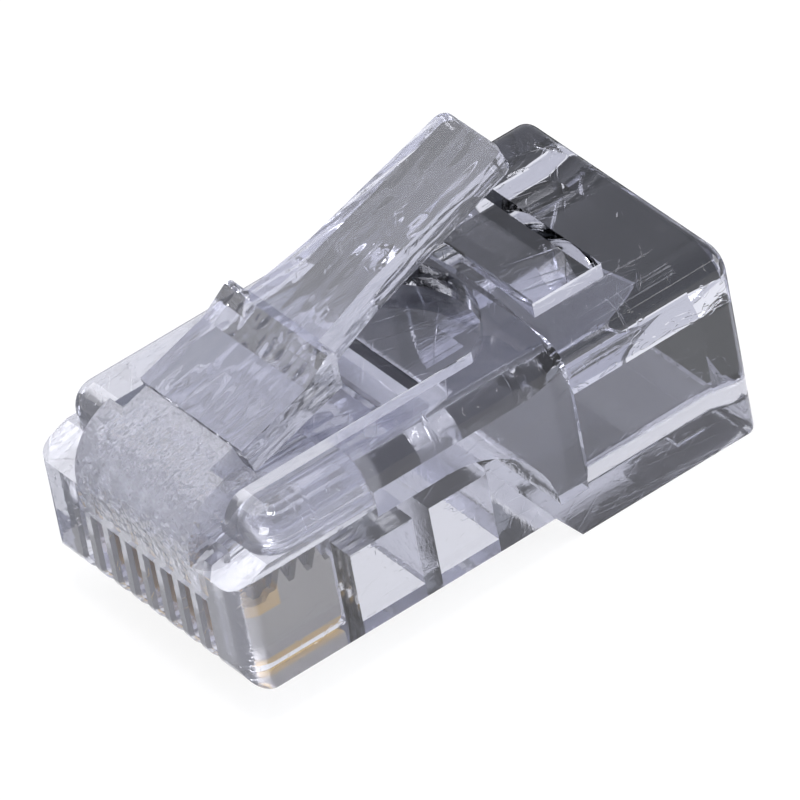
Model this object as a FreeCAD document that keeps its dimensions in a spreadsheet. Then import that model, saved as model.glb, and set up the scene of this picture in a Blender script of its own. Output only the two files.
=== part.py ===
import FreeCAD, Part
import math
import os
import Sketcher

# An eight-way modular plug: a clear moulded housing that carries eight sheet
# contacts, a sprung latch and two strain-relief bars on thin moulded hinges.
# Drawing frame: X across, Y from the nose face to the cable end, Z up towards
# the latch, zero at the underside of the cable end.

doc = FreeCAD.newDocument("modular_plug")
sheet = doc.addObject("Spreadsheet::Sheet", "Sizes")

sizes = {
    # outer body
    "body_width": 11.68,
    "body_length": 21.7,
    "body_height": 7.85,
    "rear_drop": 1.28,
    "step_start": 12.98,
    "step_run": 0.94,
    "shelf_drop": 2.12,
    "shelf_rise": 0.6,
    "shelf_length": 1.5,
    "top_radius": 0.95,
    "nose_radius": 0.8,
    "keel_run": 0.9,
    "keel_radius": 1.15,
    "rail_radius": 1.1,
    "rear_radius": 0.45,
    # recess that the latch bends into
    "rail_width": 2.24,
    "rail_height": 1.05,
    "recess_straight": 12.2,
    "recess_end": 14.4,
    # cable cavity
    "side_wall": 0.99,
    "floor_wall": 0.78,
    "crown_wall": 0.67,
    "crown_rise": 1.84,
    "floor_corner": 1.8,
    "cavity_front": 14.9,
    "arch_start": 9.5,
    "arch_radius": 4.2,
    "funnel_start": 13.2,
    "funnel_rise": 0.35,
    "ramp_start": 18.75,
    "ramp_end": 17.6,
    "ramp_rise": 0.3,
    "mouth_flare": 0.35,
    "mouth_depth": 1.3,
    # conductor tray and channels
    "tray_wall": 1.39,
    "tray_start": 6.5,
    "tray_floor": 4.97,
    "tray_depth": 1.06,
    "pitch": 1.02,
    "channel_bore": 1.06,
    "channel_start": 1.25,
    # contacts and their slots
    "contact_thickness": 0.32,
    "contact_front": 0.7,
    "contact_length": 3.85,
    "contact_inset": 0.12,
    "contact_height": 3.55,
    "contact_nose": 1.0,
    "contact_heel": 0.4,
    "tooth_depth": 0.75,
    "tooth_width": 0.55,
    "tooth_gap": 0.22,
    "post_width": 0.5,
    "post_drop": 0.2,
    "hook_width": 0.72,
    "hook_radius": 0.41,
    "slot_side_gap": 0.05,
    "slot_end_gap": 0.08,
    "slot_mouth_height": 3.3,
    "contact_travel": 0.7,
    # hollows in the contact side
    "core_wall": 1.24,
    "core_one_start": 5.05,
    "core_one_length": 2.7,
    "core_two_start": 8.45,
    "core_two_length": 2.5,
    "core_roof": 0.8,
    "rib_taper": 0.14,
    # sunk panel under the cable end
    "panel_start": 19.15,
    "panel_length": 1.25,
    "panel_width": 5.8,
    "panel_depth": 0.08,
    # latch root and latch
    "root_width": 6.6,
    "root_end": 3.0,
    "root_top": 8.7,
    "root_bend": 2.4,
    "neck_width": 5.0,
    "neck_start": 1.95,
    "neck_height": 7.73,
    "latch_angle": 18.0,
    "latch_width": 5.9,
    "latch_thickness": 1.15,
    "hinge_gap": 0.06,
    "shoulder_start": 2.9,
    "shoulder_ramp": 1.1,
    "shoulder_rise": 0.45,
    "shoulder_flat": 0.35,
    "lever_length": 9.2,
    "lever_base_width": 4.1,
    "lever_tip_width": 3.46,
    "lever_taper_length": 2.6,
    "lever_tip_thickness": 0.9,
    "lever_corner": 0.45,
    "shoulder_round": 0.15,
    # strain-relief bars
    "jacket_window_start": 15.3,
    "jacket_window_length": 3.0,
    "jacket_window_width": 6.2,
    "jacket_bar_depth": 1.05,
    "wire_window_start": 8.9,
    "wire_window_length": 1.8,
    "wire_window_width": 6.4,
    "wire_bar_depth": 0.72,
    "bar_gap": 0.1,
    "bar_recess": 0.12,
    "bar_undercut": 0.3,
    "bar_web": 0.45,
    "bar_nose": 0.4,
}

for row, (alias, number) in enumerate(sizes.items(), start=1):
    sheet.set("A%d" % row, alias)
    sheet.set("B%d" % row, str(number))
    sheet.setAlias("B%d" % row, alias)
doc.recompute()

tolerance = 0.001
contact_count = 8
tooth_count = 3


# A length or angle that knows its number and the sheet expression behind it.
class Term:
    def __init__(self, number, text):
        self.number = number
        self.text = text

    def __add__(self, other):
        other = term(other)
        return Term(self.number + other.number, "(%s + %s)" % (self.text, other.text))

    def __sub__(self, other):
        other = term(other)
        return Term(self.number - other.number, "(%s - %s)" % (self.text, other.text))

    def __mul__(self, other):
        other = term(other)
        return Term(self.number * other.number, "(%s * %s)" % (self.text, other.text))

    def __truediv__(self, other):
        other = term(other)
        return Term(self.number / other.number, "(%s / %s)" % (self.text, other.text))

    def __neg__(self):
        return Term(-self.number, "(0 - %s)" % self.text)

    __radd__ = __add__


def term(value):
    if isinstance(value, Term):
        return value
    return Term(float(value), repr(float(value)))


def size(alias):
    return Term(float(sheet.get(alias)), "Sizes." + alias)


def wave(kind, angle):
    number = getattr(math, kind)(math.radians(angle.number))
    return Term(number, "%s(%s * 1 deg)" % (kind, angle.text))


def bind(thing, path, value):
    value = term(value)
    thing.setExpression(path, value.text)


def new_body(name):
    body = doc.addObject("PartDesign::Body", name)
    body.Label = name
    return body


# Sketch on one of the body's own origin planes, lifted along that plane's normal.
def new_sketch(body, name, role, lift=0.0):
    sketch = body.newObject("Sketcher::SketchObject", name)
    plane = [part for part in body.Origin.OriginFeatures if part.Role == role][0]
    sketch.AttachmentSupport = [(plane, "")]
    sketch.MapMode = "FlatFace"
    lift = term(lift)
    sketch.AttachmentOffset = FreeCAD.Placement(
        FreeCAD.Vector(0, 0, lift.number), FreeCAD.Rotation())
    bind(sketch, "AttachmentOffset.Base.z", lift)
    return sketch


# Closed outline through points (across, up); a third entry is the radius of the
# arc that runs on to the next point, positive when it bulges to the right of
# the way along.
def draw_outline(sketch, points):
    corners = [(term(p[0]), term(p[1]), p[2] if len(p) > 2 else None) for p in points]
    first = sketch.GeometryCount
    total = len(corners)
    for index, (across, up, radius) in enumerate(corners):
        following = corners[(index + 1) % total]
        start = FreeCAD.Vector(across.number, up.number, 0)
        end = FreeCAD.Vector(following[0].number, following[1].number, 0)
        if radius is None:
            sketch.addGeometry(Part.LineSegment(start, end))
        else:
            sketch.addGeometry(arc_between(start, end, term(radius).number))
    for index in range(total):
        here = first + index
        following = first + (index + 1) % total
        join_ends(sketch, here, following, corners[index], corners[(index + 1) % total])
    for index, (across, up, radius) in enumerate(corners):
        here = first + index
        tail = start_point(radius)
        pin(sketch, "DistanceX", here, tail, across)
        pin(sketch, "DistanceY", here, tail, up)
        if radius is not None:
            span = term(radius)
            size_of = Sketcher.Constraint("Radius", here, abs(span.number))
            number = sketch.addConstraint(size_of)
            text = span.text if span.number > 0 else "(0 - %s)" % span.text
            sketch.setExpression("Constraints[%d]" % number, text)
    return sketch


# Arcs run anticlockwise, so one that bulges to the left starts at its far end.
def start_point(radius):
    if radius is not None and term(radius).number < 0:
        return 2
    return 1


def join_ends(sketch, here, following, corner, next_corner):
    head = 3 - start_point(corner[2])
    tail = start_point(next_corner[2])
    sketch.addConstraint(Sketcher.Constraint("Coincident", here, head, following, tail))


def arc_between(start, end, radius):
    chord = end - start
    half = chord.Length / 2
    right = FreeCAD.Vector(chord.y, -chord.x, 0).normalize()
    side = 1.0 if radius > 0 else -1.0
    reach = math.sqrt(max(radius * radius - half * half, 0.0))
    centre = (start + end) / 2 - right * side * reach
    circle = Part.Circle(centre, FreeCAD.Vector(0, 0, 1), abs(radius))
    first = circle.parameter(start)
    last = circle.parameter(end)
    if side < 0:
        first, last = last, first
    return Part.ArcOfCircle(circle, first, last)


def pin(sketch, kind, geometry, point, value):
    constraint = Sketcher.Constraint(kind, -1, 1, geometry, point, value.number)
    number = sketch.addConstraint(constraint)
    sketch.setExpression("Constraints[%d]" % number, value.text)


def draw_circle(sketch, across, up, radius):
    across, up, radius = term(across), term(up), term(radius)
    middle = FreeCAD.Vector(across.number, up.number, 0)
    circle = Part.Circle(middle, FreeCAD.Vector(0, 0, 1), radius.number)
    index = sketch.addGeometry(circle)
    pin(sketch, "DistanceX", index, 3, across)
    pin(sketch, "DistanceY", index, 3, up)
    number = sketch.addConstraint(Sketcher.Constraint("Radius", index, radius.number))
    sketch.setExpression("Constraints[%d]" % number, radius.text)
    return sketch


def rectangle(left, right, low, high):
    return [(left, low), (right, low), (right, high), (left, high)]


def extrude(body, kind, name, sketch, length, symmetric=False, reverse=False):
    feature = body.newObject("PartDesign::" + kind, name)
    feature.Profile = sketch
    feature.Length = term(length).number
    bind(feature, "Length", length)
    feature.SideType = "Symmetric" if symmetric else "One side"
    feature.Reversed = reverse
    sketch.Visibility = False
    doc.recompute()
    return feature


def cut(body, name, sketch, length, symmetric=False, reverse=False):
    before = body.Tip.Shape.Volume
    feature = extrude(body, "Pocket", name, sketch, length, symmetric, reverse)
    if feature.Shape.Volume >= before - tolerance:
        raise RuntimeError(feature.Name + " removes nothing")
    return feature


def repeat(body, name, feature, axis_role, count, spacing):
    pattern = body.newObject("PartDesign::LinearPattern", name)
    pattern.Originals = [feature]
    axis = [part for part in body.Origin.OriginFeatures if part.Role == axis_role][0]
    pattern.Direction = (axis, [""])
    pattern.Mode = "Spacing"
    pattern.Occurrences = count
    pattern.Offset = spacing.number
    bind(pattern, "Offset", spacing)
    body.Tip = pattern
    doc.recompute()
    return pattern


# Reach of an edge along each axis, read from its ends and its middle.
class Reach:
    def __init__(self, edge):
        middle = edge.valueAt((edge.FirstParameter + edge.LastParameter) / 2)
        points = [vertex.Point for vertex in edge.Vertexes] + [middle]
        self.low = [min(point[axis] for point in points) for axis in range(3)]
        self.high = [max(point[axis] for point in points) for axis in range(3)]

    def runs_along(self, axis):
        others = [index for index in range(3) if index != axis]
        return all(self.high[index] - self.low[index] < tolerance for index in others)

    def lies_at(self, axis, value):
        target = term(value).number
        return near(self.low[axis], target) and near(self.high[axis], target)

    def beside(self, value):
        return self.lies_at(0, value) or self.lies_at(0, -term(value))


def near(value, target):
    return abs(value - target) < tolerance


def pick_edges(shape, test):
    names = []
    for index, edge in enumerate(shape.Edges, start=1):
        if test(Reach(edge)):
            names.append("Edge%d" % index)
    if not names:
        raise RuntimeError("no edge to round")
    return names


def dress_edges(body, kind, name, path, amount, test):
    base = body.Tip
    names = pick_edges(base.Shape, test)
    feature = body.newObject("PartDesign::" + kind, name)
    feature.Base = (base, names)
    setattr(feature, path, amount.number)
    bind(feature, path, amount)
    body.Tip = feature
    doc.recompute()
    if "Invalid" in feature.State or feature.Shape.isNull():
        raise RuntimeError(name + " can't be made")
    return feature


def round_edges(body, name, radius, test):
    return dress_edges(body, "Fillet", name, "Radius", radius, test)


half_body = size("body_width") / 2
keel = size("rear_drop")
top = size("body_height")
length = size("body_length")
deck = top - size("rail_height")
shelf = top - size("shelf_drop")
rail_front = size("shelf_length")
half_recess = half_body - size("rail_width")
half_cavity = half_body - size("side_wall")
tray_floor = size("tray_floor")
tray_roof = tray_floor + size("tray_depth")
crown = top - size("crown_wall")
channel_radius = size("channel_bore") / 2
channel_height = tray_floor + channel_radius
first_contact = -(size("pitch") * ((contact_count - 1) / 2))
contact_low = keel + size("contact_inset")
contact_high = contact_low + size("contact_height")
post_top = contact_high - size("post_drop")
contact_back = size("contact_front") + size("contact_length")
slope = size("latch_angle")
tangent = wave("tan", slope)
cosine = wave("cos", slope)
sine = wave("sin", slope)
beyond = 1.0
overlap = 0.1


def outer_body(body):
    sketch = new_sketch(body, "side_outline", "YZ_Plane")
    shelf_back = shelf + size("shelf_rise")
    step_end = size("step_start") + size("step_run")
    draw_outline(sketch, [
        (0, keel + size("keel_run"), size("keel_radius")),
        (size("keel_run"), keel),
        (size("step_start"), keel),
        (step_end, 0),
        (length, 0),
        (length, top),
        (rail_front, top),
        (rail_front, shelf_back),
        (0, shelf),
    ])
    extrude(body, "Pad", "block", sketch, half_body * 2, symmetric=True)


def latch_recess(body):
    sketch = new_sketch(body, "recess_outline", "XY_Plane", top)
    bulge = size("recess_end") - size("recess_straight")
    radius = (half_recess * half_recess + bulge * bulge) / (bulge * 2)
    draw_outline(sketch, [
        (-half_recess, -beyond),
        (half_recess, -beyond),
        (half_recess, size("recess_straight"), radius),
        (-half_recess, size("recess_straight")),
    ])
    cut(body, "recess", sketch, size("rail_height"))


# Plan outlines of the material outside a rounded corner, right side then left.
def corner_rounds(sketch, front, radius):
    inner = half_body - radius
    outer = half_body + beyond
    before = front - beyond
    back = front + radius
    draw_outline(sketch, [
        (inner, before),
        (outer, before),
        (outer, back),
        (half_body, back, -radius),
        (inner, front),
    ])
    draw_outline(sketch, [
        (-outer, before),
        (-inner, before),
        (-inner, front, -radius),
        (-half_body, back),
        (-outer, back),
    ])


def round_corners(body):
    nose = new_sketch(body, "nose_outline", "XY_Plane", top)
    corner_rounds(nose, term(0), size("nose_radius"))
    cut(body, "nose_rounds", nose, top)
    rails = new_sketch(body, "rail_outline", "XY_Plane", top)
    corner_rounds(rails, rail_front, size("rail_radius"))
    cut(body, "rail_rounds", rails, top - shelf - size("shelf_rise"))


def round_outside(body):
    def top_edges(reach):
        return reach.runs_along(1) and reach.beside(half_body) and reach.lies_at(2, top)

    def rear_edges(reach):
        return reach.lies_at(1, length)

    round_edges(body, "round_top", size("top_radius"), top_edges)
    round_edges(body, "round_rear", size("rear_radius"), rear_edges)


# The cavity suits a round cable: a crowned roof over rounded lower corners.
def cavity_section(body, name, back, growth):
    half = half_cavity + growth
    corner = size("floor_corner") + growth
    low = size("floor_wall") - growth
    rise = size("crown_rise") + growth
    high = crown + growth
    spring = high - rise
    crown_radius = (half * half + rise * rise) / (rise * 2)
    sketch = new_sketch(body, name, "XZ_Plane", -back)
    draw_outline(sketch, [
        (-half + corner, low),
        (half - corner, low, corner),
        (half, low + corner),
        (half, spring, crown_radius),
        (-half, spring),
        (-half, low + corner, corner),
    ])
    return sketch


# The cable end opens out a little, so the jacket finds its way in.
def flare_mouth(body):
    before = body.Tip.Shape.Volume
    outer = cavity_section(body, "mouth_section", length, size("mouth_flare"))
    inner = cavity_section(body, "throat_section", length - size("mouth_depth"), term(0))
    flare = body.newObject("PartDesign::SubtractiveLoft", "mouth_flare")
    flare.Profile = outer
    flare.Sections = [inner]
    flare.Ruled = True
    body.Tip = flare
    doc.recompute()
    if flare.Shape.Volume >= before - tolerance:
        raise RuntimeError("mouth_flare removes nothing")


def cable_cavity(body):
    floor = size("floor_wall")
    mouth = cavity_section(body, "cavity_outline", length, term(0))
    cut(body, "jacket_cavity", mouth, length - size("cavity_front"), reverse=True)
    flare_mouth(body)
    funnel = new_sketch(body, "funnel_section", "YZ_Plane")
    arch_end = size("arch_start") + size("arch_radius")
    draw_outline(funnel, [
        (arch_end, floor),
        (size("cavity_front"), floor),
        (size("cavity_front"), tray_roof + size("funnel_rise")),
        (size("funnel_start"), tray_roof),
        (size("tray_start"), tray_roof),
        (size("tray_start"), tray_floor),
        (size("arch_start"), tray_floor, -size("arch_radius")),
    ])
    cut(body, "funnel", funnel, (half_body - size("tray_wall")) * 2, symmetric=True)
    ramp = new_sketch(body, "ramp_outline", "YZ_Plane")
    ramp_high = floor + size("ramp_rise")
    draw_outline(ramp, [
        (arch_end - overlap, floor - overlap),
        (size("ramp_start"), floor - overlap),
        (size("ramp_start"), floor),
        (size("ramp_end"), ramp_high),
        (arch_end - overlap, ramp_high),
    ])
    extrude(body, "Pad", "cavity_ramp", ramp, half_cavity * 2, symmetric=True)


# Eight round conductor channels run forward from the tray, side by side.
def conductor_channels(body):
    sketch = new_sketch(body, "channel_section", "XZ_Plane", -(size("tray_start") + overlap))
    draw_circle(sketch, first_contact, channel_height, channel_radius)
    run = size("tray_start") + overlap - size("channel_start")
    channel = cut(body, "channel", sketch, run, reverse=True)
    repeat(body, "channels", channel, "X_Axis", contact_count, size("pitch"))


# Each slot is open to the nose below the front wall and to the contact side.
def contact_slots(body):
    sketch = new_sketch(body, "slot_outline", "YZ_Plane", first_contact)
    front = size("contact_front") - size("slot_end_gap")
    back = contact_back + size("slot_end_gap")
    mouth = keel + size("slot_mouth_height")
    roof = post_top + size("contact_travel") + size("slot_end_gap")
    draw_outline(sketch, [
        (-beyond, keel - beyond),
        (back, keel - beyond),
        (back, roof),
        (front, roof),
        (front, mouth),
        (-beyond, mouth),
    ])
    width = size("contact_thickness") + size("slot_side_gap") * 2
    slot = cut(body, "slot", sketch, width, symmetric=True)
    repeat(body, "slots", slot, "X_Axis", contact_count, size("pitch"))


# The ends of the ribs between the slots taper off like finger tips.
def taper_ribs(body):
    half_slot = size("contact_thickness") / 2 + size("slot_side_gap")
    sides = []
    for index in range(contact_count):
        middle = first_contact + size("pitch") * index
        sides.extend([middle - half_slot, middle + half_slot])
    keel_end = keel + size("keel_run")
    mouth = keel + size("slot_mouth_height")

    def rib_edges(reach):
        on_side = any(reach.lies_at(0, side) for side in sides)
        on_front = reach.lies_at(1, 0) and reach.high[2] < mouth.number + tolerance
        in_arc = reach.high[2] < keel_end.number + tolerance
        on_arc = in_arc and reach.high[1] < size("keel_run").number + tolerance
        return on_side and (on_front or on_arc)

    dress_edges(body, "Chamfer", "rib_ends", "Size", size("rib_taper"), rib_edges)


# Shallow rectangle sunk in the underside of the cable end.
def underside_recess(body):
    sketch = new_sketch(body, "panel_outline", "XY_Plane")
    half = size("panel_width") / 2
    start = size("panel_start")
    draw_outline(sketch, rectangle(-half, half, start, start + size("panel_length")))
    cut(body, "panel", sketch, size("panel_depth"), reverse=True)


# Two hollows keep the thick contact side from sinking as it cools.
def core_pocket(body, name):
    sketch = new_sketch(body, name + "_outline", "XY_Plane", keel)
    half = half_body - size("core_wall")
    start = size(name + "_start")
    draw_outline(sketch, rectangle(-half, half, start, start + size(name + "_length")))
    depth = tray_floor - size("core_roof") - keel
    cut(body, name, sketch, depth, reverse=True)


def bar_window(body, name):
    sketch = new_sketch(body, name + "_outline", "XY_Plane", top)
    half = size(name + "_width") / 2
    start = size(name + "_start")
    draw_outline(sketch, rectangle(-half, half, start, start + size(name + "_length")))
    cut(body, name, sketch, top - tray_roof + overlap)


# The latch springs from a rounded block on the nose.
def latch_root(body):
    end = size("root_end")
    high = size("root_top")
    bend = size("root_bend")
    foot = shelf - size("shelf_rise")
    crest = bend - bend * sine
    crest_high = high - (end - crest) * tangent
    back = end + size("latch_thickness") * sine
    sketch = new_sketch(body, "root_outline", "YZ_Plane")
    draw_outline(sketch, [
        (0, foot),
        (back, foot),
        (back, high - size("latch_thickness") * cosine),
        (end, high),
        (crest, crest_high, bend),
        (0, crest_high - bend * cosine),
    ])
    extrude(body, "Pad", "root", sketch, size("root_width"), symmetric=True)


# Beside the moulded hinge the block steps in to a narrower neck.
def hinge_neck(body):
    sketch = new_sketch(body, "neck_outline", "XY_Plane", size("root_top") + beyond)
    inner = size("neck_width") / 2
    outer = size("root_width") / 2 + overlap
    start = size("neck_start")
    end = size("root_end") + beyond
    draw_outline(sketch, rectangle(inner, outer, start, end))
    draw_outline(sketch, rectangle(-outer, -inner, start, end))
    depth = size("root_top") + beyond - size("neck_height")
    cut(body, "neck", sketch, depth)


def make_housing():
    housing = new_body("housing")
    outer_body(housing)
    round_corners(housing)
    latch_recess(housing)
    round_outside(housing)
    latch_root(housing)
    hinge_neck(housing)
    cable_cavity(housing)
    conductor_channels(housing)
    contact_slots(housing)
    taper_ribs(housing)
    underside_recess(housing)
    core_pocket(housing, "core_one")
    core_pocket(housing, "core_two")
    bar_window(housing, "wire_window")
    bar_window(housing, "jacket_window")
    return housing


# The latch starts across the moulded hinge from the root, climbs to its two
# shoulders and runs on as the narrower lever that the finger presses.
def make_latch():
    latch = new_body("latch")
    thick = size("latch_thickness")
    start = size("root_end") + size("hinge_gap") / cosine
    face_top = size("root_top") + (start - size("root_end")) * tangent
    face_low = start + thick * sine
    ramp = start + size("shoulder_start")
    peak = ramp + size("shoulder_ramp")
    ramp_low = face_top + (ramp - start) * tangent
    peak_high = face_top + (peak - start) * tangent + size("shoulder_rise")
    back = peak + size("shoulder_flat")
    corner = size("shoulder_round")
    under = face_top - thick * cosine
    under_back = under + (back - face_low) * tangent
    side = new_sketch(latch, "tongue_outline", "YZ_Plane")
    draw_outline(side, [
        (face_low, under),
        (back, under_back),
        (back, peak_high - corner, corner),
        (back - corner, peak_high),
        (peak, peak_high),
        (ramp, ramp_low),
        (start, face_top),
    ])
    extrude(latch, "Pad", "tongue", side, size("latch_width"), symmetric=True)
    tip = back + size("lever_length") * cosine
    tip_high = peak_high + size("lever_length") * sine
    tip_thick = size("lever_tip_thickness")
    lever = new_sketch(latch, "lever_outline", "YZ_Plane")
    draw_outline(lever, [
        (peak, under_back - (back - peak) * tangent),
        (tip + tip_thick * sine, tip_high - tip_thick * cosine),
        (tip, tip_high),
        (back, peak_high),
        (peak, peak_high),
    ])
    extrude(latch, "Pad", "lever", lever, size("lever_base_width"), symmetric=True)
    plan = new_sketch(latch, "lever_plan", "XY_Plane")
    end = tip + tip_thick * sine + beyond
    half_base = size("lever_base_width") / 2
    half_tip = size("lever_tip_width") / 2
    for side_sign in (-1.0, 1.0):
        draw_taper(plan, back, end, half_base * side_sign, half_tip * side_sign)
    cut(latch, "lever_taper", plan, (tip_high + beyond) * 2, symmetric=True)

    def tip_corners(reach):
        behind = reach.low[1] > tip.number - tolerance
        above = reach.high[2] > tip_high.number - tolerance
        return behind and above and reach.beside(half_tip)

    round_edges(latch, "round_tip", size("lever_corner"), tip_corners)
    return latch


# Wedge that narrows the lever behind the shoulders on one side.
def draw_taper(sketch, waist, end, base, tip_half):
    outer = base * 2
    narrow = waist + size("lever_taper_length")
    points = [(base, waist), (tip_half, narrow), (tip_half, end), (outer, end), (outer, waist)]
    draw_outline(sketch, points)


# Sheet contact: a plate with a post behind the nose wall, a hook-shaped relief
# and three teeth that go through the conductors.
def make_contact(index):
    contact = new_body("contact_%d" % (index + 1))
    front = size("contact_front")
    low = contact_low
    high = contact_high
    nose = size("contact_nose")
    heel = size("contact_heel")
    depth = size("tooth_depth")
    post_back = front + size("post_width")
    hook_back = post_back + size("hook_width")
    floor = high - depth
    sketch = new_sketch(contact, "plate_outline", "YZ_Plane")
    points = [
        (front + nose, low),
        (contact_back - heel, low, heel),
        (contact_back, low + heel),
        (contact_back, floor),
    ]
    width = size("tooth_width")
    gap = size("tooth_gap")
    for tooth in range(tooth_count):
        back = contact_back - gap - (width + gap) * tooth
        points.append((back, floor))
        points.append((back - width / 2, high))
        points.append((back - width, floor))
    points.append((hook_back, floor, -size("hook_radius")))
    points.append((post_back, floor))
    points.append((post_back, post_top))
    points.append((front, post_top))
    points.append((front, low + nose, nose))
    draw_outline(sketch, points)
    extrude(contact, "Pad", "plate", sketch, size("contact_thickness"), symmetric=True)
    bind(contact, "Placement.Base.x", first_contact + size("pitch") * index)
    return contact


# Strain-relief bar in its window: hinged along its front edge, undercut behind.
def make_bar(name, window, depth, high):
    bar = new_body(name)
    gap = size("bar_gap")
    front = size(window + "_start") + gap
    back = size(window + "_start") + size(window + "_length") - gap
    upper = high - size("bar_recess")
    lower = upper - depth
    sketch = new_sketch(bar, "bar_outline", "YZ_Plane")
    draw_outline(sketch, [
        (front, upper - size("bar_web")),
        (front + size("bar_nose"), lower),
        (back, lower),
        (back - size("bar_undercut"), upper),
        (front, upper),
    ])
    extrude(bar, "Pad", "bar", sketch, size(window + "_width") - gap * 2, symmetric=True)
    return bar


def checked(body):
    if "Invalid" in body.State or "Error" in body.State:
        raise RuntimeError(body.Label + " failed")
    if body.Shape.isNull() or not body.Shape.isValid():
        raise RuntimeError(body.Label + " has no sound solid")
    return body


housing = make_housing()
latch = make_latch()
jacket_bar = make_bar("jacket_bar", "jacket_window", size("jacket_bar_depth"), top)
wire_bar = make_bar("wire_bar", "wire_window", size("wire_bar_depth"), deck)
contacts = [make_contact(index) for index in range(contact_count)]
pieces = [housing, latch, jacket_bar, wire_bar] + contacts

for body in pieces:
    bind(body, "Placement.Base.y", -(length / 2))
doc.recompute()
for thing in doc.Objects:
    if "Invalid" in thing.State or "Error" in thing.State:
        raise RuntimeError(thing.Label + " failed")
os.makedirs("parts", exist_ok=True)
for body in pieces:
    checked(body).Shape.exportStep("parts/%s.step" % body.Label)
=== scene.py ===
import math

import bmesh
import bpy
import numpy as np
from mathutils import Matrix, Vector


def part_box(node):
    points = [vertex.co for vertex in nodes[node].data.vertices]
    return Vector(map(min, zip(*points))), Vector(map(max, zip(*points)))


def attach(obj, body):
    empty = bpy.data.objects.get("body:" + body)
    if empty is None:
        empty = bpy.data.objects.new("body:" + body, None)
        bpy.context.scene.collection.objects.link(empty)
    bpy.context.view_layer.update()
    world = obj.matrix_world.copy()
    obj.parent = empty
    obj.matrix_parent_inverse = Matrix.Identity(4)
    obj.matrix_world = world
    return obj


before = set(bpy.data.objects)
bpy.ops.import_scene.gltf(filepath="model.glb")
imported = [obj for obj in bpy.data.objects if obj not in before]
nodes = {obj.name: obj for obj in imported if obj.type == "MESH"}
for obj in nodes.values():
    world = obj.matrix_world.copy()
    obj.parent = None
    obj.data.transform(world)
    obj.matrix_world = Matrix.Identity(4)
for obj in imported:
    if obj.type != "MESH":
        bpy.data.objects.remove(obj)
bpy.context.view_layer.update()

mm = 0.001
contactNames = sorted(name for name in nodes if name.startswith("contact_"))


# sRGB hex to the linear colour that a shader socket takes
def paint(code):
    parts = [int(code[i:i + 2], 16) / 255 for i in (1, 3, 5)]
    linear = [c / 12.92 if c <= 0.04045 else ((c + 0.055) / 1.055) ** 2.4 for c in parts]
    return (*linear, 1.0)


# Adds a node, sets its properties and input values, and links inputs given as sockets
def addNode(tree, kind, settings=None, inputs=None):
    node = tree.nodes.new(kind)
    for key, value in (settings or {}).items():
        setattr(node, key, value)
    for key, value in (inputs or {}).items():
        if isinstance(value, bpy.types.NodeSocket):
            tree.links.new(value, node.inputs[key])
        else:
            node.inputs[key].default_value = value
    return node


def newMaterial(name):
    material = bpy.data.materials.new(name)
    material.use_nodes = True
    tree = material.node_tree
    tree.nodes.clear()
    return material, tree


# A long lens from the right of the nose, a little rolled
view = {
    "azimuth": 59.811,  # degrees round from the nose
    "elevation": 37.719,
    "roll": -11.296,
    "distance": 0.504236,  # m
    "lens": 656.98,  # mm, as the sensor is
    "sensor": 36.0,
    "clip": (0.01, 5.0),  # m
    "aim": (-1.987, 1.542, 2.632),  # mm
}


def placeCamera():
    a = math.radians(view["azimuth"])
    e = math.radians(view["elevation"])
    r = math.radians(view["roll"])
    back = Vector((math.sin(a) * math.cos(e), -math.cos(a) * math.cos(e), math.sin(e)))
    level = Vector((math.cos(a), math.sin(a), 0))
    upright = back.cross(level)
    right = level * math.cos(r) + upright * math.sin(r)
    up = upright * math.cos(r) - level * math.sin(r)
    data = bpy.data.cameras.new("camera")
    data.lens = view["lens"]
    data.sensor_width = view["sensor"]
    data.clip_start, data.clip_end = view["clip"]
    camera = bpy.data.objects.new("camera", data)
    place = Vector(view["aim"]) * mm + back * view["distance"]
    turn = Matrix((right, up, back)).transposed().to_4x4()
    camera.matrix_world = Matrix.Translation(place) @ turn
    bpy.context.scene.collection.objects.link(camera)
    bpy.context.scene.camera = camera


placeCamera()
print("camera placed")


# 1 inside a box given by its corners in mm, falling to 0 over the soft distance outside it
def boxMask(tree, place, low, high, soft):
    centre = [(a + b) / 2 * mm for a, b in zip(low, high)]
    half = [(b - a) / 2 * mm for a, b in zip(low, high)]
    moved = addNode(tree, "ShaderNodeVectorMath", {"operation": "SUBTRACT"}, {0: place, 1: centre})
    folded = addNode(tree, "ShaderNodeVectorMath", {"operation": "ABSOLUTE"}, {0: moved.outputs[0]})
    past = addNode(tree, "ShaderNodeVectorMath", {"operation": "SUBTRACT"}, {
        0: folded.outputs[0], 1: half})
    parts = addNode(tree, "ShaderNodeSeparateXYZ", inputs={0: past.outputs[0]})
    wide = addNode(tree, "ShaderNodeMath", {"operation": "MAXIMUM"}, {
        0: parts.outputs[0], 1: parts.outputs[1]})
    most = addNode(tree, "ShaderNodeMath", {"operation": "MAXIMUM"}, {
        0: wide.outputs[0], 1: parts.outputs[2]})
    fade = addNode(tree, "ShaderNodeMapRange", inputs={
        "Value": most.outputs[0], "From Min": soft * mm, "From Max": 0.0, "To Min": 0.0, "To Max": 1.0})
    return fade.outputs[0]


# The highest of the masks of several boxes, each given by its low and high corners and softness
def boxMasks(tree, place, boxes):
    total = None
    for low, high, soft in boxes:
        mask = boxMask(tree, place, low, high, soft)
        total = mask if total is None else addNode(tree, "ShaderNodeMath", {"operation": "MAXIMUM"}, {
            0: total, 1: mask}).outputs[0]
    return total


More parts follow.
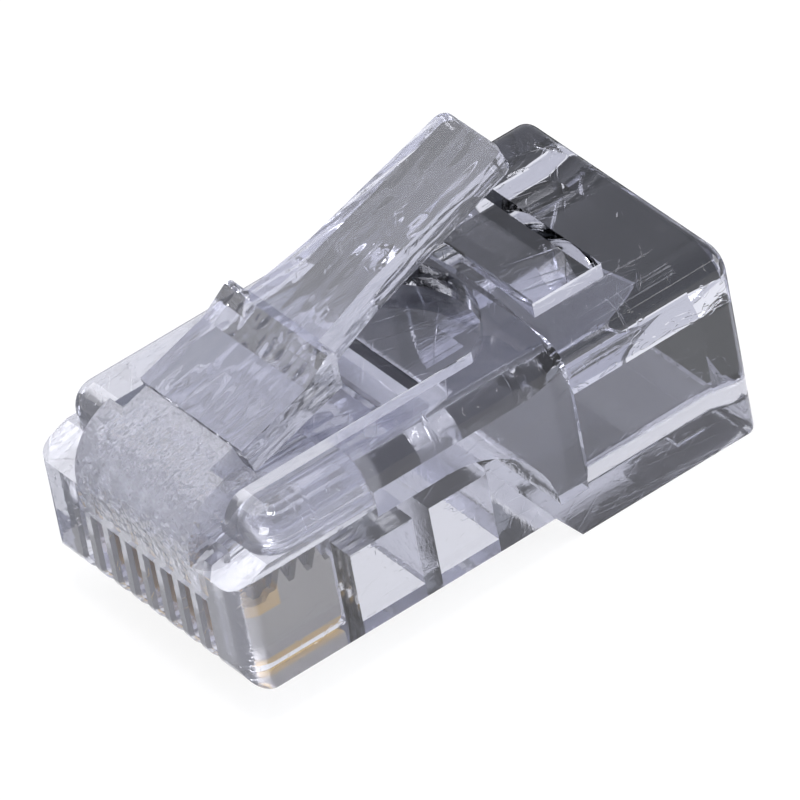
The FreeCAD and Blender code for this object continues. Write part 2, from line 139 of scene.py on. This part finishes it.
# Injection-moulded clear polycarbonate: glass-clear where the mould was polished, hazy where
# the steel was left as cut and frosted on the latch root, with flow lines, cutter marks and
# fine handling scratches. Boxes are low corner, high corner and soft edge, and they, the
# patterns' sizes and the depths are in mm
plastic = {
    "tint": "#E1E2EC",
    "ior": 1.585,
    "polish": 0.03,  # roughness where polished, then where hazy and frosted
    "haze": 0.06,
    "frost": 0.2,
    "hazeShare": 0.89,  # transmission where hazy and frosted
    "frostShare": 0.84,
    "hazeBoxes": [
        ((-5.2, -10.4, 1.5), (5.2, 3.2, 6.6), 0.2),
        ((-5.9, -10.9, 0.9), (5.9, -10.2, 6.8), 0.2),
        ((-5.9, -10.2, 6.2), (5.9, -4.5, 8.8), 0.2),
        ((-5.6, 2.0, -0.1), (5.6, 11.0, 1.0), 0.2),
    ],
    "frostBoxes": [
        ((-3.4, -10.9, 6.9), (3.4, -7.5, 9.6), 0.15),
        ((-3.4, -10.9, 5.1), (3.4, -10.4, 9.6), 0.15),
    ],
    "flowScale": 2.6,
    "flowDepth": 0.01,
    "toolAcross": 0.14,  # cutter marks in the hazy places
    "toolAlong": 5.0,
    "toolDepth": 0.004,
    "mottle": 0.3,
    "mottleDepth": 0.12,
    "scratchAcross": 0.25,
    "scratchAlong": 6.0,
    "scratchEdge": (0.7, 0.74),  # only the peaks of the noise between these are scratched
    "scratchDepth": 0.003,
    "scratchTurns": (0.35, -0.9),  # radians
}


# Noise drawn out along Y: sizes in mm across and along
def stretchedNoise(tree, place, across, along, detail):
    drawn = addNode(tree, "ShaderNodeVectorMath", {"operation": "MULTIPLY"}, {
        0: place, 1: (1 / (across * mm), 1 / (along * mm), 1 / (across * mm))})
    return addNode(tree, "ShaderNodeTexNoise", inputs={
        "Vector": drawn.outputs[0], "Scale": 1.0, "Detail": detail}).outputs[0]


# Sparse fine scratches in a few directions, drawn about 0.04 mm wide so that they show
def scratches(tree, place):
    low, high = plastic["scratchEdge"]
    least = None
    for turn in plastic["scratchTurns"]:
        turned = addNode(tree, "ShaderNodeVectorRotate", {"rotation_type": "Z_AXIS"}, {
            "Vector": place, "Angle": turn})
        lines = stretchedNoise(
            tree, turned.outputs[0], plastic["scratchAcross"], plastic["scratchAlong"], 0.0)
        cut = addNode(tree, "ShaderNodeMapRange", inputs={
            "Value": lines, "From Min": low, "From Max": high, "To Min": 1.0, "To Max": 0.0}).outputs[0]
        least = cut if least is None else addNode(tree, "ShaderNodeMath", {"operation": "MINIMUM"}, {
            0: least, 1: cut}).outputs[0]
    return least


def clearPlastic():
    material, tree = newMaterial("clearPolycarbonate")
    place = addNode(tree, "ShaderNodeTexCoord").outputs["Object"]
    haze = boxMasks(tree, place, plastic["hazeBoxes"])
    frost = boxMasks(tree, place, plastic["frostBoxes"])
    polish = addNode(tree, "ShaderNodeMapRange", inputs={
        "Value": haze, "To Min": plastic["polish"], "To Max": plastic["haze"]})
    rough = addNode(tree, "ShaderNodeMix", {"data_type": "FLOAT"}, {
        0: frost, 2: polish.outputs[0], 3: plastic["frost"]})
    cleared = addNode(tree, "ShaderNodeMapRange", inputs={
        "Value": haze, "To Min": 1.0, "To Max": plastic["hazeShare"]})
    passed = addNode(tree, "ShaderNodeMix", {"data_type": "FLOAT"}, {
        0: frost, 2: cleared.outputs[0], 3: plastic["frostShare"]})
    flow = addNode(tree, "ShaderNodeBump", inputs={
        "Height": stretchedNoise(tree, place, plastic["flowScale"], plastic["flowScale"], 0.0),
        "Distance": plastic["flowDepth"] * mm, "Strength": 1.0})
    tooled = addNode(tree, "ShaderNodeBump", inputs={
        "Height": stretchedNoise(tree, place, plastic["toolAcross"], plastic["toolAlong"], 0.0),
        "Distance": plastic["toolDepth"] * mm, "Strength": haze, "Normal": flow.outputs[0]})
    frosted = addNode(tree, "ShaderNodeBump", inputs={
        "Height": stretchedNoise(tree, place, plastic["mottle"], plastic["mottle"], 1.0),
        "Distance": plastic["mottleDepth"] * mm, "Strength": frost, "Normal": tooled.outputs[0]})
    marked = addNode(tree, "ShaderNodeBump", inputs={
        "Height": scratches(tree, place),
        "Distance": plastic["scratchDepth"] * mm, "Strength": 1.0, "Normal": frosted.outputs[0]})
    shader = addNode(tree, "ShaderNodeBsdfPrincipled", inputs={
        "Base Color": paint(plastic["tint"]),
        "Roughness": rough.outputs[0],
        "IOR": plastic["ior"],
        "Transmission Weight": passed.outputs[0],
        "Normal": marked.outputs[0],
    })
    addNode(tree, "ShaderNodeOutputMaterial", inputs={"Surface": shader.outputs[0]})
    return material


# The latch is the same plastic, with streaks along it where the mould filled from the hinge
latchFinish = {
    "rough": 0.05,
    "share": 0.96,  # transmission
    "streakAcross": 0.5,  # mm, as the next two
    "streakAlong": 7.0,
    "streakDepth": 0.06,
}


def latchPlastic():
    material, tree = newMaterial("streakedPolycarbonate")
    place = addNode(tree, "ShaderNodeTexCoord").outputs["Object"]
    across, along = latchFinish["streakAcross"], latchFinish["streakAlong"]
    streaked = addNode(tree, "ShaderNodeBump", inputs={
        "Height": stretchedNoise(tree, place, across, along, 0.0),
        "Distance": latchFinish["streakDepth"] * mm, "Strength": 1.0})
    marked = addNode(tree, "ShaderNodeBump", inputs={
        "Height": scratches(tree, place),
        "Distance": plastic["scratchDepth"] * mm, "Strength": 1.0, "Normal": streaked.outputs[0]})
    shader = addNode(tree, "ShaderNodeBsdfPrincipled", inputs={
        "Base Color": paint(plastic["tint"]),
        "Roughness": latchFinish["rough"],
        "IOR": plastic["ior"],
        "Transmission Weight": latchFinish["share"],
        "Normal": marked.outputs[0],
    })
    addNode(tree, "ShaderNodeOutputMaterial", inputs={"Surface": shader.outputs[0]})
    return material


# Phosphor bronze blades, nickel plated, with a gold flash on the edge that meets the jack
contact = {
    "nickel": "#C4C0B2",
    "gold": "#EFCF8C",
    "rough": 0.45,
    # Front edge, lower edge and hooked top corner, as the plastic's boxes are given
    "goldBoxes": [
        ((-6.0, -10.9, 0.0), (6.0, -9.8, 6.0), 0.15),
        ((-6.0, -10.9, 0.0), (6.0, -6.0, 1.6), 0.1),
        ((-6.0, -9.8, 3.6), (6.0, -8.6, 6.0), 0.1),
    ],
}


def contactMetal():
    material, tree = newMaterial("goldFlashedNickel")
    place = addNode(tree, "ShaderNodeTexCoord").outputs["Object"]
    plated = boxMasks(tree, place, contact["goldBoxes"])
    colour = addNode(tree, "ShaderNodeMix", {"data_type": "RGBA"}, {
        0: plated, 6: paint(contact["nickel"]), 7: paint(contact["gold"])})
    shader = addNode(tree, "ShaderNodeBsdfPrincipled", inputs={
        "Base Color": colour.outputs[2],
        "Roughness": contact["rough"],
        "Metallic": 1.0,
    })
    addNode(tree, "ShaderNodeOutputMaterial", inputs={"Surface": shader.outputs[0]})
    return material


def dress(names, material):
    for name in names:
        slots = nodes[name].data.materials
        slots.clear()
        slots.append(material)


clear = clearPlastic()
latchClear = latchPlastic()
metal = contactMetal()
dress(["housing", "jacket_bar", "wire_bar"], clear)
dress(["latch"], latchClear)
dress(contactNames, metal)
print("materials on the nodes")


# Pointed ribs that carry on from between the conductor channels into the open tray, in mm
ribs = {
    "pitch": 1.02,
    "count": 7,
    "start": -4.34,
    "length": 2.05,
    "width": 0.46,
    "height": 0.6,
    "underBar": 0.98,  # down from the foot of the wire bar to 0.01 above the tray floor
    "stations": 24,
    "sidePoints": 8,
}


def newPiece(name, points, faces, material, body):
    mesh = bpy.data.meshes.new(name)
    mesh.from_pydata(points.tolist(), [], faces)
    mesh.materials.append(material)
    piece = bpy.data.objects.new(name, mesh)
    bpy.context.scene.collection.objects.link(piece)
    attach(piece, body)
    return piece


# Each rib: across, half its width times (1 - t) squared; up, its height times t, for t from 0
# at the floor to 1 at the crest. Both are times the square root of 1 - s squared, for s from 0
# where the channels end to 1 at the point, so it closes like the quarter of an ellipse
def channelRibs():
    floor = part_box("wire_bar")[0][2] - ribs["underBar"] * mm
    along = np.linspace(0, 1, ribs["stations"])
    shrunk = np.sqrt(1 - along ** 2)
    t = np.linspace(0, 1, ribs["sidePoints"])
    half = ribs["width"] / 2 * mm * (1 - t) ** 2
    across = np.concatenate([-half, half[-2::-1]])
    up = ribs["height"] * mm * np.concatenate([t, t[-2::-1]])
    around = len(across)
    middle = (np.arange(ribs["count"]) - (ribs["count"] - 1) / 2) * ribs["pitch"] * mm
    shape = (ribs["count"], ribs["stations"], around)
    x = middle[:, None, None] + (shrunk[:, None] * across)[None]
    y = np.broadcast_to((ribs["start"] + ribs["length"] * along)[None, :, None] * mm, shape)
    z = np.broadcast_to((floor + shrunk[:, None] * up)[None], shape)
    points = np.stack([x, y, z], axis=-1).reshape(-1, 3)
    index = np.arange(points.shape[0]).reshape(shape)
    near = index[:, :-1]
    far = index[:, 1:]
    sides = np.stack([np.roll(near, -1, 2), near, far, np.roll(far, -1, 2)], axis=-1)
    faces = sides.reshape(-1, 4).tolist() + index[:, 0].tolist()
    mesh = newPiece("channelRibs", points, faces, clear, "shell").data
    tidy = bmesh.new()
    tidy.from_mesh(mesh)
    bmesh.ops.remove_doubles(tidy, verts=tidy.verts, dist=1e-7)
    bmesh.ops.recalc_face_normals(tidy, faces=tidy.faces)
    tidy.to_mesh(mesh)
    tidy.free()


channelRibs()
print("ribs between the conductors")


# Pale floor, two cards that lie on it and soft lamps. The cards are painted shade: they glow at a fixed
# dark and mid grey and are not lit. The dark card lies behind the part and the grey one at its left:
# clear walls and metal show them as shade around the part, and the camera doesn't. The cards' corners
# and all heights are in mm, the floor's size and the lamps' places and sizes in m
studio = {
    "floorColour": "#F4F5F7",
    "floorSize": 1.2,
    "floorHeight": -0.01,
    "floorWhite": 0.85,  # share of plain white for rays that show the background
    "cardHeight": -0.005,
    # Painted shade: each card glows at its own fixed colour
    "backShadeCard": {"colour": "#2A2C30", "low": (-60.0, 3.0), "high": (3.5, 60.0)},
    "sideShadeCard": {"colour": "#8A8D96", "low": (-60.0, -60.0), "high": (-8.0, 3.0)},
    "worldColour": "#DCDDE6",
    "worldLight": 0.93,
    # Seen through the plastic, the key lamp would burn out the side of the latch
    "lamps": {
        "keyLamp": {"place": (-0.30, -0.05, 0.35), "side": 0.4, "watts": 0.8, "seenThrough": False},
        "fillLamp": {"place": (0.25, -0.45, 0.12), "side": 0.3, "watts": 2.0, "seenThrough": True},
        "topLamp": {"place": (0.02, -0.02, 0.5), "side": 0.1, "watts": 1.0, "seenThrough": True},
        "rimLamp": {"place": (0.25, 0.35, 0.2), "side": 0.3, "watts": 1.0, "seenThrough": True},
    },
}


def flatPlate(name, low, high, height, material):
    corners = [(low[0], low[1]), (high[0], low[1]), (high[0], high[1]), (low[0], high[1])]
    points = [(x, y, height * mm) for x, y in corners]
    mesh = bpy.data.meshes.new(name)
    mesh.from_pydata(points, [], [(0, 1, 2, 3)])
    mesh.materials.append(material)
    plate = bpy.data.objects.new(name, mesh)
    bpy.context.scene.collection.objects.link(plate)
    return plate


# 1 for rays that show the background, to the camera or in gloss and clear plastic
def seenRay(tree):
    path = addNode(tree, "ShaderNodeLightPath")
    seen = addNode(tree, "ShaderNodeMath", {"operation": "MAXIMUM"}, {
        0: path.outputs["Is Camera Ray"], 1: path.outputs["Is Glossy Ray"]})
    both = addNode(tree, "ShaderNodeMath", {"operation": "MAXIMUM"}, {
        0: seen.outputs[0], 1: path.outputs["Is Transmission Ray"]})
    return both.outputs[0]


def paleFloor():
    material, tree = newMaterial("paleFloorPaint")
    share = addNode(tree, "ShaderNodeMath", {"operation": "MULTIPLY"}, {
        0: seenRay(tree), 1: studio["floorWhite"]})
    matt = addNode(tree, "ShaderNodeBsdfDiffuse", inputs={"Color": paint(studio["floorColour"])})
    white = addNode(tree, "ShaderNodeEmission", inputs={"Color": paint("#FFFFFF"), "Strength": 1.0})
    mix = addNode(tree, "ShaderNodeMixShader", inputs={
        0: share.outputs[0], 1: matt.outputs[0], 2: white.outputs[0]})
    addNode(tree, "ShaderNodeOutputMaterial", inputs={"Surface": mix.outputs[0]})
    half = studio["floorSize"] / 2
    flatPlate("floor", (-half, -half), (half, half), studio["floorHeight"], material)


def paintedShadeCard(name):
    card = studio[name]
    material, tree = newMaterial(name + "PaintedShade")
    # Painted shade: emission at the card's fixed colour, not a paper lit by the lamps
    shadeGlow = addNode(tree, "ShaderNodeEmission", inputs={"Color": paint(card["colour"])})
    addNode(tree, "ShaderNodeOutputMaterial", inputs={"Surface": shadeGlow.outputs[0]})
    low, high = [[c * mm for c in card[corner]] for corner in ("low", "high")]
    plate = flatPlate(name, low, high, studio["cardHeight"], material)
    plate.visible_camera = False
    plate.visible_shadow = False
    plate.visible_diffuse = False


def softWorld():
    world = bpy.data.worlds.new("studioWorld")
    bpy.context.scene.world = world
    world.use_nodes = True
    tree = world.node_tree
    tree.nodes.clear()
    light = addNode(tree, "ShaderNodeBackground", inputs={
        "Color": paint(studio["worldColour"]), "Strength": studio["worldLight"]})
    addNode(tree, "ShaderNodeOutputWorld", inputs={"Surface": light.outputs[0]})


def softLamp(name):
    lampData = studio["lamps"][name]
    data = bpy.data.lights.new(name, "AREA")
    data.shape = "SQUARE"
    data.size = lampData["side"]
    data.energy = lampData["watts"]
    lamp = bpy.data.objects.new(name, data)
    lamp.location = lampData["place"]
    lamp.rotation_euler = (-Vector(lampData["place"])).to_track_quat("-Z", "Y").to_euler()
    lamp.visible_transmission = lampData["seenThrough"]
    bpy.context.scene.collection.objects.link(lamp)


paleFloor()
paintedShadeCard("backShadeCard")
paintedShadeCard("sideShadeCard")
softWorld()
for lampName in studio["lamps"]:
    softLamp(lampName)
bpy.context.scene.view_settings.view_transform = "Standard"
print("studio lit")
